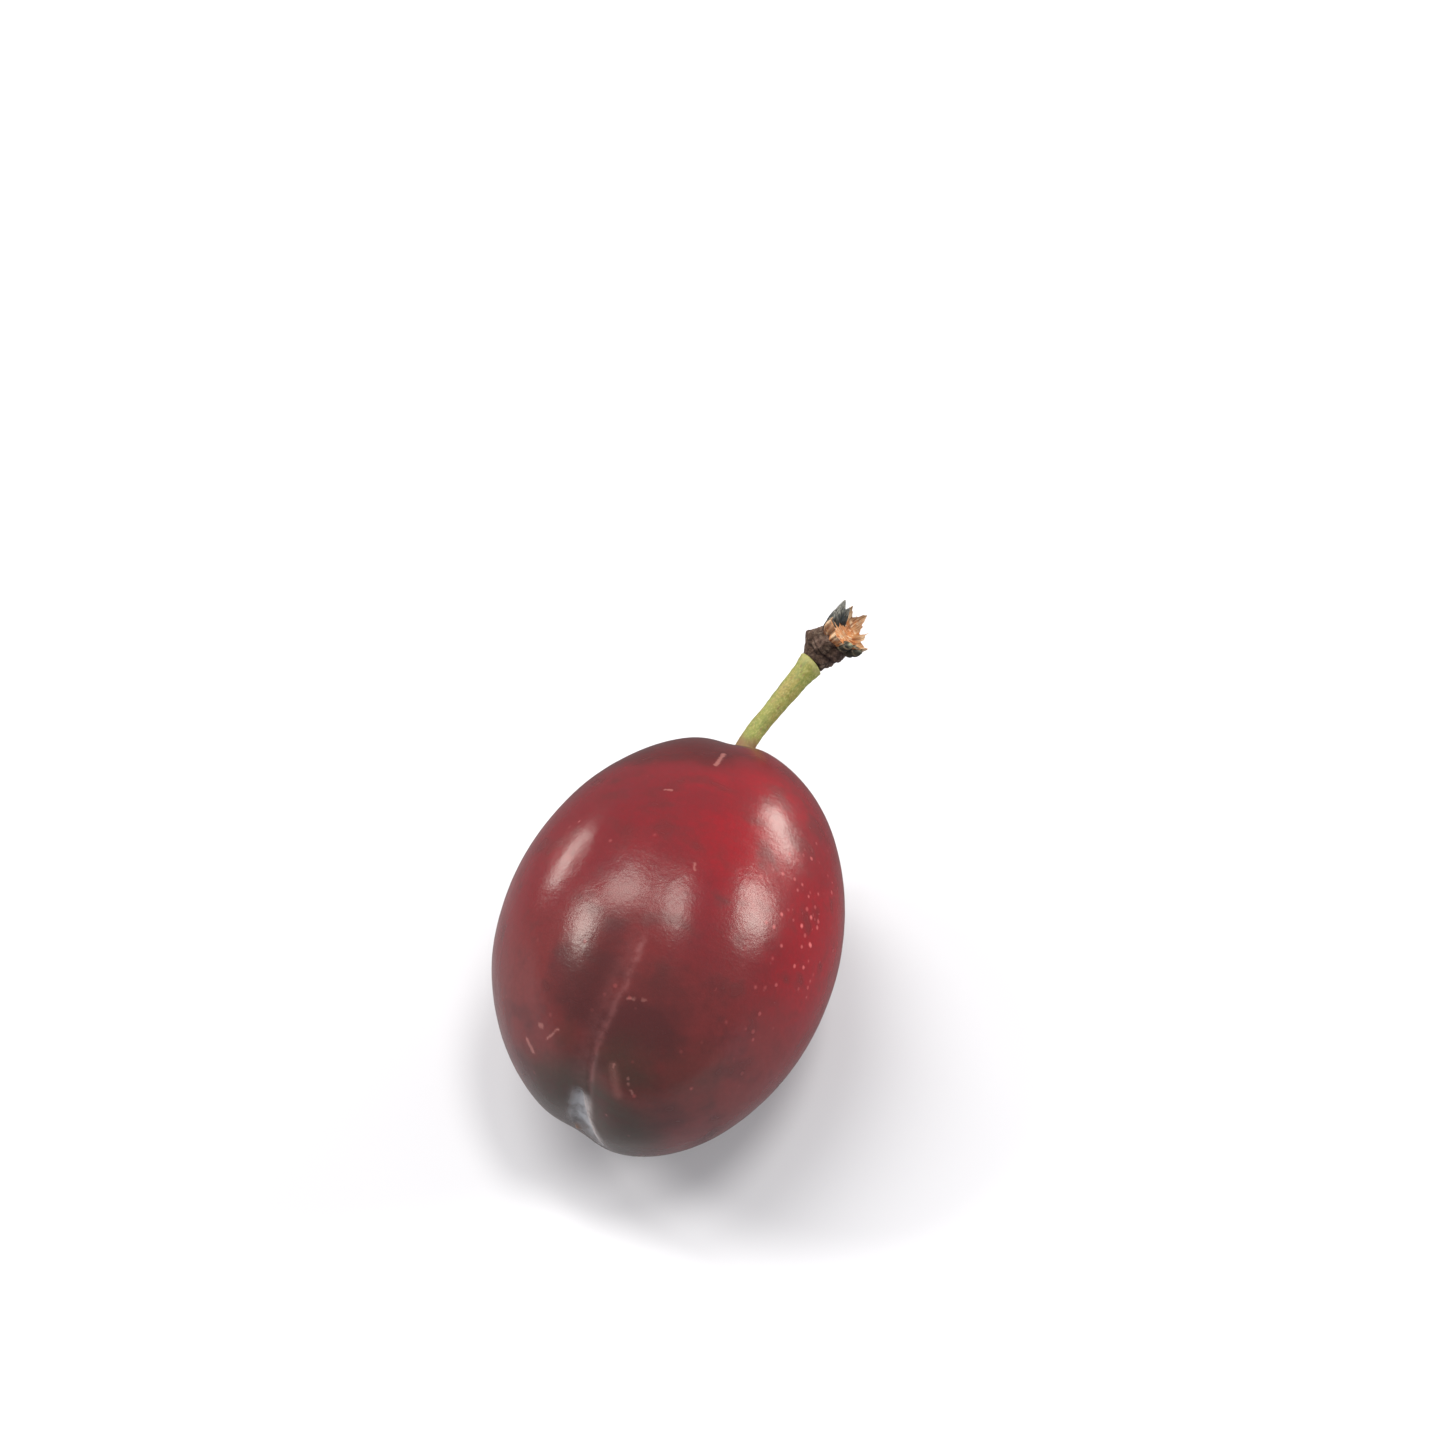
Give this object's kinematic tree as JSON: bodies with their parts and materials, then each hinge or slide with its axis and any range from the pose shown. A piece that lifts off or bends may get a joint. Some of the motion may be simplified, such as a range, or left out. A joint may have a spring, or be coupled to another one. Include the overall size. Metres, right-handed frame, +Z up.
{
  "type": "plum",
  "caption": "Ripe oval red plum as picked, lying on its side, with a shallow seam, a green stalk and the knot of spur wood it grew from.",
  "frame": {"origin": "centre of the small flat spot on the underside that the fruit rests on", "axes": "+Z up; +Y along the fruit from its tip towards its stalk; +X to the right seen from the tip's side, the fruit's widest way across"},
  "size_m": [0.0432, 0.0813, 0.0416],
  "materials": {
    "skin": "smooth semi-gloss plum skin, crimson to maroon, with pale dots and a thin bloom",
    "stalk": "matt yellow-green stalk with fine specks",
    "spur_bark": "rough grey-brown bark with torn orange wood"
  },
  "bodies": {
    "root": {"fruit": "skin", "stalk": "stalk", "spur": "spur_bark"}
  },
  "joints": []
}
